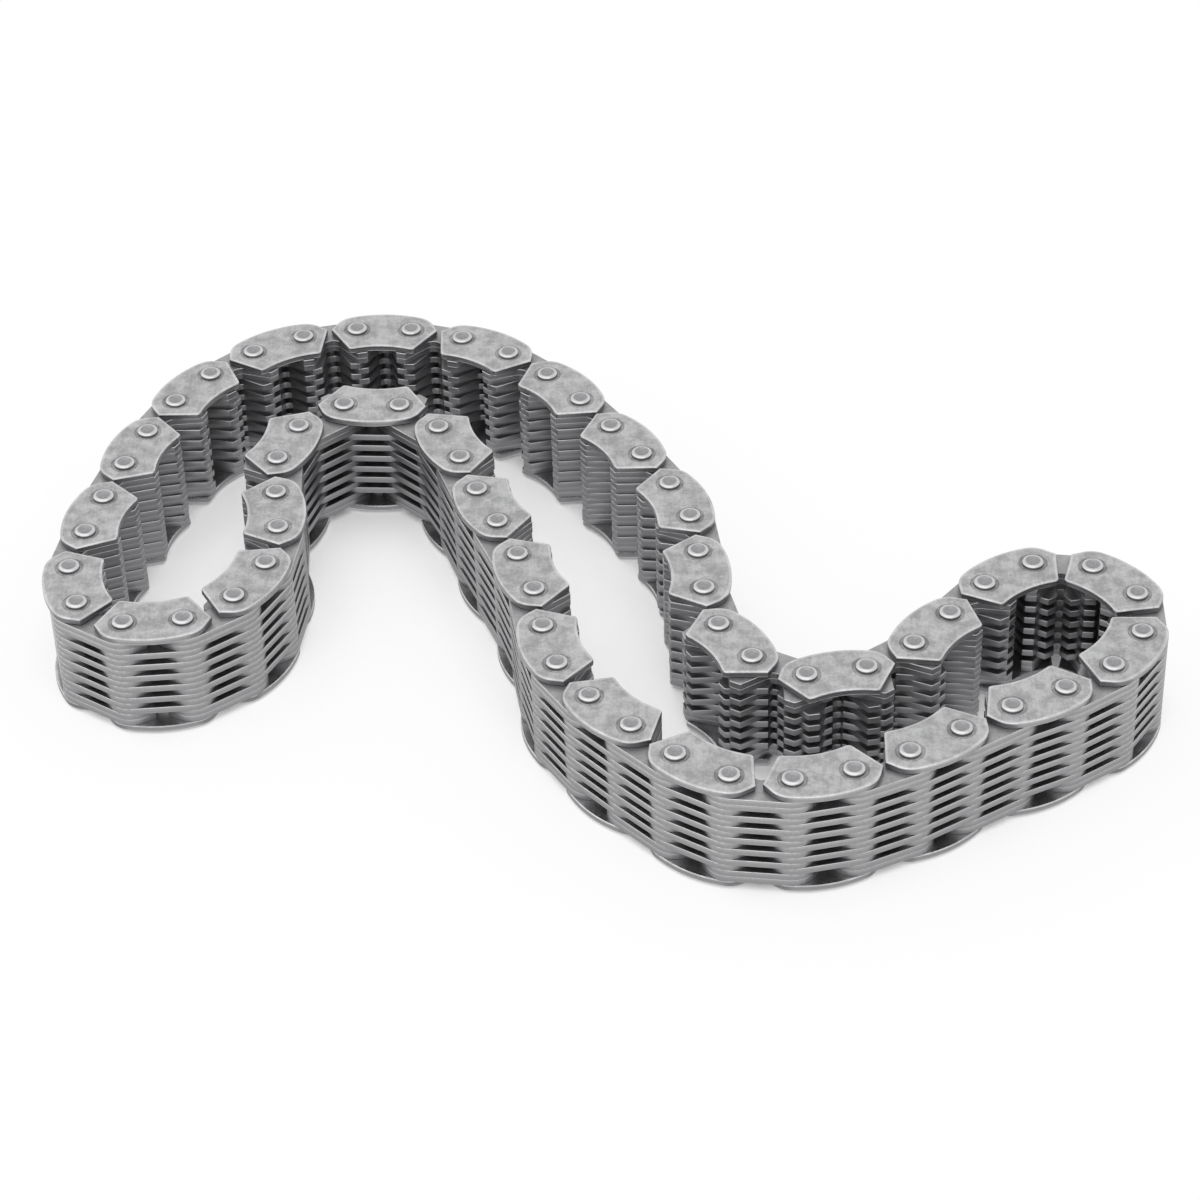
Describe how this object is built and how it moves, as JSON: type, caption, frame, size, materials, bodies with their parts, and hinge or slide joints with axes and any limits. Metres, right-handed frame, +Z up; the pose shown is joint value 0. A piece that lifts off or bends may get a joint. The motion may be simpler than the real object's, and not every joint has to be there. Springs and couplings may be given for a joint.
{
  "type": "transfer case chain",
  "caption": "Endless silent drive chain of riveted guide rows and inner rows of toothed plates, lying on its side in a loose S, with every row hinged on its pins.",
  "frame": {"origin": "middle of the lay's bounding box, on the surface that the lower pin heads stand on", "axes": "+X along the longest side of the lay, to the right in the picture; +Y away from the camera; +Z up, along the pins"},
  "size_m": [0.239, 0.175, 0.0269],
  "materials": {
    "guide_steel": "tumbled matt",
    "link_steel": "tumbled matt, sheared edges",
    "pin_steel": "ground, with riveted heads"
  },
  "bodies": {
    "base_section": {"base_section": "pin_steel"},
    "guide_row_03": {"guide_row_03": "guide_steel"},
    "guide_row_04": {"guide_row_04": "guide_steel"},
    "guide_row_05": {"guide_row_05": "guide_steel"},
    "guide_row_06": {"guide_row_06": "guide_steel"},
    "guide_row_07": {"guide_row_07": "guide_steel"},
    "guide_row_08": {"guide_row_08": "guide_steel"},
    "guide_row_09": {"guide_row_09": "guide_steel"},
    "guide_row_10": {"guide_row_10": "guide_steel"},
    "guide_row_11": {"guide_row_11": "guide_steel"},
    "guide_row_12": {"guide_row_12": "guide_steel"},
    "guide_row_13": {"guide_row_13": "guide_steel"},
    "guide_row_14": {"guide_row_14": "guide_steel"},
    "guide_row_15": {"guide_row_15": "guide_steel"},
    "guide_row_16": {"guide_row_16": "guide_steel"},
    "guide_row_17": {"guide_row_17": "guide_steel"},
    "guide_row_18": {"guide_row_18": "guide_steel"},
    "guide_row_19": {"guide_row_19": "guide_steel"},
    "guide_row_20": {"guide_row_20": "guide_steel"},
    "guide_row_21": {"guide_row_21": "guide_steel"},
    "guide_row_22": {"guide_row_22": "guide_steel"},
    "guide_row_23": {"guide_row_23": "guide_steel"},
    "guide_row_24": {"guide_row_24": "guide_steel"},
    "guide_row_25": {"guide_row_25": "guide_steel"},
    "guide_row_26": {"guide_row_26": "guide_steel"},
    "guide_row_27": {"guide_row_27": "guide_steel"},
    "guide_row_28": {"guide_row_28": "guide_steel"},
    "guide_row_29": {"guide_row_29": "guide_steel"},
    "guide_row_30": {"guide_row_30": "guide_steel"},
    "guide_row_31": {"guide_row_31": "guide_steel"},
    "inner_row_02": {"inner_row_02": "link_steel"},
    "inner_row_03": {"inner_row_03": "link_steel"},
    "inner_row_04": {"inner_row_04": "link_steel"},
    "inner_row_05": {"inner_row_05": "link_steel"},
    "inner_row_06": {"inner_row_06": "link_steel"},
    "inner_row_07": {"inner_row_07": "link_steel"},
    "inner_row_08": {"inner_row_08": "link_steel"},
    "inner_row_09": {"inner_row_09": "link_steel"},
    "inner_row_10": {"inner_row_10": "link_steel"},
    "inner_row_11": {"inner_row_11": "link_steel"},
    "inner_row_12": {"inner_row_12": "link_steel"},
    "inner_row_13": {"inner_row_13": "link_steel"},
    "inner_row_14": {"inner_row_14": "link_steel"},
    "inner_row_15": {"inner_row_15": "link_steel"},
    "inner_row_16": {"inner_row_16": "link_steel"},
    "inner_row_17": {"inner_row_17": "link_steel"},
    "inner_row_18": {"inner_row_18": "link_steel"},
    "inner_row_19": {"inner_row_19": "link_steel"},
    "inner_row_20": {"inner_row_20": "link_steel"},
    "inner_row_21": {"inner_row_21": "link_steel"},
    "inner_row_22": {"inner_row_22": "link_steel"},
    "inner_row_23": {"inner_row_23": "link_steel"},
    "inner_row_24": {"inner_row_24": "link_steel"},
    "inner_row_25": {"inner_row_25": "link_steel"},
    "inner_row_26": {"inner_row_26": "link_steel"},
    "inner_row_27": {"inner_row_27": "link_steel"},
    "inner_row_28": {"inner_row_28": "link_steel"},
    "inner_row_29": {"inner_row_29": "link_steel"},
    "inner_row_30": {"inner_row_30": "link_steel"},
    "inner_row_31": {"inner_row_31": "link_steel"}
  },
  "joints": [
    {"name": "hinge_inner_row_02", "type": "hinge", "parent": "base_section", "child": "inner_row_02", "pos_m": [-0.01354, -0.0183, 0.01345], "axis": [0, 0, 1], "range_deg": [-72, 54]},
    {"name": "hinge_guide_row_03", "type": "hinge", "parent": "inner_row_02", "child": "guide_row_03", "pos_m": [-0.01176, -0.03087, 0.01345], "axis": [0, 0, 1], "range_deg": [-85, 41]},
    {"name": "hinge_inner_row_03", "type": "hinge", "parent": "guide_row_03", "child": "inner_row_03", "pos_m": [-0.0089, -0.04324, 0.01345], "axis": [0, 0, 1], "range_deg": [-98, 28]},
    {"name": "hinge_guide_row_04", "type": "hinge", "parent": "inner_row_03", "child": "guide_row_04", "pos_m": [-0.00235, -0.05412, 0.01345], "axis": [0, 0, 1], "range_deg": [-90, 36]},
    {"name": "hinge_inner_row_04", "type": "hinge", "parent": "guide_row_04", "child": "inner_row_04", "pos_m": [0.00599, -0.0637, 0.01345], "axis": [0, 0, 1], "range_deg": [-82, 44]},
    {"name": "hinge_guide_row_05", "type": "hinge", "parent": "inner_row_04", "child": "guide_row_05", "pos_m": [0.01467, -0.07298, 0.01345], "axis": [0, 0, 1], "range_deg": [-93.5, 32.5]},
    {"name": "hinge_inner_row_05", "type": "hinge", "parent": "guide_row_05", "child": "inner_row_05", "pos_m": [0.02526, -0.07998, 0.01345], "axis": [0, 0, 1], "range_deg": [-105, 21]},
    {"name": "hinge_guide_row_06", "type": "hinge", "parent": "inner_row_05", "child": "guide_row_06", "pos_m": [0.03783, -0.08184, 0.01345], "axis": [0, 0, 1], "range_deg": [-99, 27]},
    {"name": "hinge_inner_row_06", "type": "hinge", "parent": "guide_row_06", "child": "inner_row_06", "pos_m": [0.05031, -0.0795, 0.01345], "axis": [0, 0, 1], "range_deg": [-93, 33]},
    {"name": "hinge_guide_row_07", "type": "hinge", "parent": "inner_row_06", "child": "guide_row_07", "pos_m": [0.06195, -0.07442, 0.01345], "axis": [0, 0, 1], "range_deg": [-86.7, 39.3]},
    {"name": "hinge_inner_row_07", "type": "hinge", "parent": "guide_row_07", "child": "inner_row_07", "pos_m": [0.07291, -0.06801, 0.01345], "axis": [0, 0, 1], "range_deg": [-80.4, 45.6]},
    {"name": "hinge_guide_row_08", "type": "hinge", "parent": "inner_row_07", "child": "guide_row_08", "pos_m": [0.08384, -0.06154, 0.01345], "axis": [0, 0, 1], "range_deg": [-74, 52]},
    {"name": "hinge_inner_row_08", "type": "hinge", "parent": "guide_row_08", "child": "inner_row_08", "pos_m": [0.09538, -0.05624, 0.01345], "axis": [0, 0, 1], "range_deg": [-88, 38]},
    {"name": "hinge_guide_row_09", "type": "hinge", "parent": "inner_row_08", "child": "guide_row_09", "pos_m": [0.10606, -0.04937, 0.01345], "axis": [0, 0, 1], "range_deg": [-102, 24]},
    {"name": "hinge_inner_row_09", "type": "hinge", "parent": "guide_row_09", "child": "inner_row_09", "pos_m": [0.11339, -0.039, 0.01345], "axis": [0, 0, 1], "range_deg": [-112.5, 13.5]},
    {"name": "hinge_guide_row_10", "type": "hinge", "parent": "inner_row_09", "child": "guide_row_10", "pos_m": [0.11399, -0.02631, 0.01345], "axis": [0, 0, 1], "range_deg": [-123.1, 2.9]},
    {"name": "hinge_inner_row_10", "type": "hinge", "parent": "guide_row_10", "child": "inner_row_10", "pos_m": [0.10576, -0.01664, 0.01345], "axis": [0, 0, 1], "range_deg": [-121.1, 4.9]},
    {"name": "hinge_guide_row_11", "type": "hinge", "parent": "inner_row_10", "child": "guide_row_11", "pos_m": [0.09321, -0.01474, 0.01345], "axis": [0, 0, 1], "range_deg": [-119, 7]},
    {"name": "hinge_inner_row_11", "type": "hinge", "parent": "guide_row_11", "child": "inner_row_11", "pos_m": [0.08226, -0.02118, 0.01345], "axis": [0, 0, 1], "range_deg": [-99, 27]},
    {"name": "hinge_guide_row_12", "type": "hinge", "parent": "inner_row_11", "child": "guide_row_12", "pos_m": [0.07401, -0.03083, 0.01345], "axis": [0, 0, 1], "range_deg": [-79, 47]},
    {"name": "hinge_inner_row_12", "type": "hinge", "parent": "guide_row_12", "child": "inner_row_12", "pos_m": [0.0656, -0.04035, 0.01345], "axis": [0, 0, 1], "range_deg": [-66.4, 59.6]},
    {"name": "hinge_guide_row_13", "type": "hinge", "parent": "inner_row_12", "child": "guide_row_13", "pos_m": [0.05519, -0.04762, 0.01345], "axis": [0, 0, 1], "range_deg": [-53.7, 72.3]},
    {"name": "hinge_inner_row_13", "type": "hinge", "parent": "guide_row_13", "child": "inner_row_13", "pos_m": [0.04263, -0.04952, 0.01345], "axis": [0, 0, 1], "range_deg": [-41, 85]},
    {"name": "hinge_guide_row_14", "type": "hinge", "parent": "inner_row_13", "child": "guide_row_14", "pos_m": [0.03167, -0.04309, 0.01345], "axis": [0, 0, 1], "range_deg": [-51, 75]},
    {"name": "hinge_inner_row_14", "type": "hinge", "parent": "guide_row_14", "child": "inner_row_14", "pos_m": [0.0252, -0.03217, 0.01345], "axis": [0, 0, 1], "range_deg": [-61, 65]},
    {"name": "hinge_guide_row_15", "type": "hinge", "parent": "inner_row_14", "child": "guide_row_15", "pos_m": [0.02263, -0.01973, 0.01345], "axis": [0, 0, 1], "range_deg": [-71.7, 54.3]},
    {"name": "hinge_inner_row_15", "type": "hinge", "parent": "guide_row_15", "child": "inner_row_15", "pos_m": [0.02189, -0.00705, 0.01345], "axis": [0, 0, 1], "range_deg": [-82.4, 43.6]},
    {"name": "hinge_guide_row_16", "type": "hinge", "parent": "inner_row_15", "child": "guide_row_16", "pos_m": [0.02063, 0.00559, 0.01345], "axis": [0, 0, 1], "range_deg": [-93, 33]},
    {"name": "hinge_inner_row_16", "type": "hinge", "parent": "guide_row_16", "child": "inner_row_16", "pos_m": [0.01655, 0.01761, 0.01345], "axis": [0, 0, 1], "range_deg": [-88.7, 37.3]},
    {"name": "hinge_guide_row_17", "type": "hinge", "parent": "inner_row_16", "child": "guide_row_17", "pos_m": [0.0107, 0.02889, 0.01345], "axis": [0, 0, 1], "range_deg": [-84.4, 41.6]},
    {"name": "hinge_inner_row_31", "type": "hinge", "parent": "base_section", "child": "inner_row_31", "pos_m": [-0.02601, 0.01767, 0.01345], "axis": [0, 0, -1], "range_deg": [-83, 43]},
    {"name": "hinge_guide_row_31", "type": "hinge", "parent": "inner_row_31", "child": "guide_row_31", "pos_m": [-0.02993, 0.02975, 0.01345], "axis": [0, 0, -1], "range_deg": [-75, 51]},
    {"name": "hinge_inner_row_30", "type": "hinge", "parent": "guide_row_31", "child": "inner_row_30", "pos_m": [-0.03489, 0.04145, 0.01345], "axis": [0, 0, -1], "range_deg": [-57.5, 68.5]},
    {"name": "hinge_guide_row_30", "type": "hinge", "parent": "inner_row_30", "child": "guide_row_30", "pos_m": [-0.04394, 0.05036, 0.01345], "axis": [0, 0, -1], "range_deg": [-40, 86]},
    {"name": "hinge_inner_row_29", "type": "hinge", "parent": "guide_row_30", "child": "inner_row_29", "pos_m": [-0.0566, 0.05137, 0.01345], "axis": [0, 0, -1], "range_deg": [0, 41]},
    {"name": "hinge_guide_row_29", "type": "hinge", "parent": "inner_row_29", "child": "guide_row_29", "pos_m": [-0.06655, 0.04348, 0.01345], "axis": [0, 0, -1], "range_deg": [-48, 78]},
    {"name": "hinge_inner_row_28", "type": "hinge", "parent": "guide_row_29", "child": "inner_row_28", "pos_m": [-0.07081, 0.03151, 0.01345], "axis": [0, 0, -1], "range_deg": [-59, 67]},
    {"name": "hinge_guide_row_28", "type": "hinge", "parent": "inner_row_28", "child": "guide_row_28", "pos_m": [-0.0705, 0.01882, 0.01345], "axis": [0, 0, -1], "range_deg": [-76.5, 49.5]},
    {"name": "hinge_inner_row_27", "type": "hinge", "parent": "guide_row_28", "child": "inner_row_27", "pos_m": [-0.06941, 0.00616, 0.01345], "axis": [0, 0, -1], "range_deg": [-94, 32]},
    {"name": "hinge_guide_row_27", "type": "hinge", "parent": "inner_row_27", "child": "guide_row_27", "pos_m": [-0.07142, -0.00638, 0.01345], "axis": [0, 0, -1], "range_deg": [-100, 26]},
    {"name": "hinge_inner_row_26", "type": "hinge", "parent": "guide_row_27", "child": "inner_row_26", "pos_m": [-0.07759, -0.01748, 0.01345], "axis": [0, 0, -1], "range_deg": [-106, 20]},
    {"name": "hinge_guide_row_26", "type": "hinge", "parent": "inner_row_26", "child": "guide_row_26", "pos_m": [-0.08801, -0.02475, 0.01345], "axis": [0, 0, -1], "range_deg": [-112, 14]},
    {"name": "hinge_inner_row_25", "type": "hinge", "parent": "guide_row_26", "child": "inner_row_25", "pos_m": [-0.10069, -0.0254, 0.01345], "axis": [0, 0, -1], "range_deg": [-117.5, 8.5]},
    {"name": "hinge_guide_row_25", "type": "hinge", "parent": "inner_row_25", "child": "guide_row_25", "pos_m": [-0.11115, -0.0182, 0.01345], "axis": [0, 0, -1], "range_deg": [-123, 3]},
    {"name": "hinge_inner_row_24", "type": "hinge", "parent": "guide_row_25", "child": "inner_row_24", "pos_m": [-0.11389, -0.0058, 0.01345], "axis": [0, 0, -1], "range_deg": [-103, 23]},
    {"name": "hinge_guide_row_24", "type": "hinge", "parent": "inner_row_24", "child": "guide_row_24", "pos_m": [-0.11158, 0.00669, 0.01345], "axis": [0, 0, -1], "range_deg": [-83, 43]},
    {"name": "hinge_inner_row_23", "type": "hinge", "parent": "guide_row_24", "child": "inner_row_23", "pos_m": [-0.10862, 0.01904, 0.01345], "axis": [0, 0, -1], "range_deg": [-83, 43]},
    {"name": "hinge_guide_row_23", "type": "hinge", "parent": "inner_row_23", "child": "guide_row_23", "pos_m": [-0.10502, 0.03122, 0.01345], "axis": [0, 0, -1], "range_deg": [-83, 43]},
    {"name": "hinge_inner_row_22", "type": "hinge", "parent": "guide_row_23", "child": "inner_row_22", "pos_m": [-0.10078, 0.04319, 0.01345], "axis": [0, 0, -1], "range_deg": [-86.2, 39.8]},
    {"name": "hinge_guide_row_22", "type": "hinge", "parent": "inner_row_22", "child": "guide_row_22", "pos_m": [-0.09527, 0.05464, 0.01345], "axis": [0, 0, -1], "range_deg": [-89.5, 36.5]},
    {"name": "hinge_inner_row_21", "type": "hinge", "parent": "guide_row_22", "child": "inner_row_21", "pos_m": [-0.08795, 0.06501, 0.01345], "axis": [0, 0, -1], "range_deg": [-92.8, 33.2]},
    {"name": "hinge_guide_row_21", "type": "hinge", "parent": "inner_row_21", "child": "guide_row_21", "pos_m": [-0.07852, 0.07351, 0.01345], "axis": [0, 0, -1], "range_deg": [-96, 30]},
    {"name": "hinge_inner_row_20", "type": "hinge", "parent": "guide_row_21", "child": "inner_row_20", "pos_m": [-0.0671, 0.07908, 0.01345], "axis": [0, 0, -1], "range_deg": [-95.4, 30.6]},
    {"name": "hinge_guide_row_20", "type": "hinge", "parent": "inner_row_20", "child": "guide_row_20", "pos_m": [-0.05462, 0.08142, 0.01345], "axis": [0, 0, -1], "range_deg": [-94.8, 31.2]},
    {"name": "hinge_inner_row_19", "type": "hinge", "parent": "guide_row_20", "child": "inner_row_19", "pos_m": [-0.04195, 0.08048, 0.01345], "axis": [0, 0, -1], "range_deg": [-94.2, 31.8]},
    {"name": "hinge_guide_row_19", "type": "hinge", "parent": "inner_row_19", "child": "guide_row_19", "pos_m": [-0.02991, 0.07646, 0.01345], "axis": [0, 0, -1], "range_deg": [-93.6, 32.4]},
    {"name": "hinge_inner_row_18", "type": "hinge", "parent": "guide_row_19", "child": "inner_row_18", "pos_m": [-0.01915, 0.06972, 0.01345], "axis": [0, 0, -1], "range_deg": [-93, 33]},
    {"name": "hinge_guide_row_18", "type": "hinge", "parent": "inner_row_18", "child": "guide_row_18", "pos_m": [-0.01018, 0.06072, 0.01345], "axis": [0, 0, -1], "range_deg": [-88.7, 37.3]},
    {"name": "hinge_inner_row_17", "type": "hinge", "parent": "guide_row_18", "child": "inner_row_17", "pos_m": [-0.00269, 0.05047, 0.01345], "axis": [0, 0, -1], "range_deg": [-84.4, 41.6]}
  ],
  "couplings": [
    {"joint": "hinge_inner_row_02", "follows": "hinge_inner_row_29", "ratio": 0.19496},
    {"joint": "hinge_guide_row_03", "follows": "hinge_inner_row_29", "ratio": -0.17931},
    {"joint": "hinge_inner_row_03", "follows": "hinge_inner_row_29", "ratio": -0.41576},
    {"joint": "hinge_guide_row_04", "follows": "hinge_inner_row_29", "ratio": -0.2448},
    {"joint": "hinge_inner_row_04", "follows": "hinge_inner_row_29", "ratio": -0.15985},
    {"joint": "hinge_guide_row_05", "follows": "hinge_inner_row_29", "ratio": -0.37134},
    {"joint": "hinge_inner_row_05", "follows": "hinge_inner_row_29", "ratio": -0.64396},
    {"joint": "hinge_guide_row_06", "follows": "hinge_inner_row_29", "ratio": -0.4332},
    {"joint": "hinge_inner_row_06", "follows": "hinge_inner_row_29", "ratio": -0.1999},
    {"joint": "hinge_guide_row_07", "follows": "hinge_inner_row_29", "ratio": 0.12},
    {"joint": "hinge_inner_row_07", "follows": "hinge_inner_row_29", "ratio": 0.24813},
    {"joint": "hinge_guide_row_08", "follows": "hinge_inner_row_29", "ratio": 0.45269},
    {"joint": "hinge_inner_row_08", "follows": "hinge_inner_row_29", "ratio": 0.15762},
    {"joint": "hinge_guide_row_09", "follows": "hinge_inner_row_29", "ratio": -0.146},
    {"joint": "hinge_inner_row_09", "follows": "hinge_inner_row_29", "ratio": -0.37689},
    {"joint": "hinge_guide_row_10", "follows": "hinge_inner_row_29", "ratio": -0.66564},
    {"joint": "hinge_inner_row_10", "follows": "hinge_inner_row_29", "ratio": -0.77176},
    {"joint": "hinge_guide_row_11", "follows": "hinge_inner_row_29", "ratio": -0.88995},
    {"joint": "hinge_inner_row_11", "follows": "hinge_inner_row_29", "ratio": -0.34856},
    {"joint": "hinge_guide_row_12", "follows": "hinge_inner_row_29", "ratio": 0.34552},
    {"joint": "hinge_inner_row_12", "follows": "hinge_inner_row_29", "ratio": 0.7371},
    {"joint": "hinge_guide_row_13", "follows": "hinge_inner_row_29", "ratio": 0.97589},
    {"joint": "hinge_inner_row_13", "follows": "hinge_inner_row_29", "ratio": 1.1591},
    {"joint": "hinge_guide_row_14", "follows": "hinge_inner_row_29", "ratio": 0.88238},
    {"joint": "hinge_inner_row_14", "follows": "hinge_inner_row_29", "ratio": 0.66435},
    {"joint": "hinge_guide_row_15", "follows": "hinge_inner_row_29", "ratio": 0.37454},
    {"joint": "hinge_inner_row_15", "follows": "hinge_inner_row_29", "ratio": -0.12},
    {"joint": "hinge_guide_row_16", "follows": "hinge_inner_row_29", "ratio": -0.33485},
    {"joint": "hinge_inner_row_16", "follows": "hinge_inner_row_29", "ratio": -0.23541},
    {"joint": "hinge_guide_row_17", "follows": "hinge_inner_row_29", "ratio": -0.12},
    {"joint": "hinge_inner_row_31", "follows": "hinge_inner_row_29", "ratio": -0.13787},
    {"joint": "hinge_guide_row_31", "follows": "hinge_inner_row_29", "ratio": 0.17045},
    {"joint": "hinge_inner_row_30", "follows": "hinge_inner_row_29", "ratio": 0.48316},
    {"joint": "hinge_guide_row_30", "follows": "hinge_inner_row_29", "ratio": 0.94842},
    {"joint": "hinge_guide_row_29", "follows": "hinge_inner_row_29", "ratio": 0.67093},
    {"joint": "hinge_inner_row_28", "follows": "hinge_inner_row_29", "ratio": 0.4563},
    {"joint": "hinge_guide_row_28", "follows": "hinge_inner_row_29", "ratio": 0.48903},
    {"joint": "hinge_inner_row_27", "follows": "hinge_inner_row_29", "ratio": -0.29011},
    {"joint": "hinge_guide_row_27", "follows": "hinge_inner_row_29", "ratio": 0.46317},
    {"joint": "hinge_inner_row_26", "follows": "hinge_inner_row_29", "ratio": 0.38075},
    {"joint": "hinge_guide_row_26", "follows": "hinge_inner_row_29", "ratio": -0.27998},
    {"joint": "hinge_inner_row_25", "follows": "hinge_inner_row_29", "ratio": -0.40514},
    {"joint": "hinge_guide_row_25", "follows": "hinge_inner_row_29", "ratio": -0.69356},
    {"joint": "hinge_inner_row_24", "follows": "hinge_inner_row_29", "ratio": -0.33637},
    {"joint": "hinge_guide_row_24", "follows": "hinge_inner_row_29", "ratio": -0.12},
    {"joint": "hinge_inner_row_23", "follows": "hinge_inner_row_29", "ratio": -0.12},
    {"joint": "hinge_guide_row_23", "follows": "hinge_inner_row_29", "ratio": -0.12},
    {"joint": "hinge_inner_row_22", "follows": "hinge_inner_row_29", "ratio": -0.12},
    {"joint": "hinge_guide_row_22", "follows": "hinge_inner_row_29", "ratio": -0.20904},
    {"joint": "hinge_inner_row_21", "follows": "hinge_inner_row_29", "ratio": -0.2776},
    {"joint": "hinge_guide_row_21", "follows": "hinge_inner_row_29", "ratio": -0.32301},
    {"joint": "hinge_inner_row_20", "follows": "hinge_inner_row_29", "ratio": -0.26571},
    {"joint": "hinge_guide_row_20", "follows": "hinge_inner_row_29", "ratio": -0.21597},
    {"joint": "hinge_inner_row_19", "follows": "hinge_inner_row_29", "ratio": -0.18388},
    {"joint": "hinge_guide_row_19", "follows": "hinge_inner_row_29", "ratio": -0.17337},
    {"joint": "hinge_inner_row_18", "follows": "hinge_inner_row_29", "ratio": -0.18288},
    {"joint": "hinge_guide_row_18", "follows": "hinge_inner_row_29", "ratio": -0.12},
    {"joint": "hinge_inner_row_17", "follows": "hinge_inner_row_29", "ratio": -0.12}
  ]
}
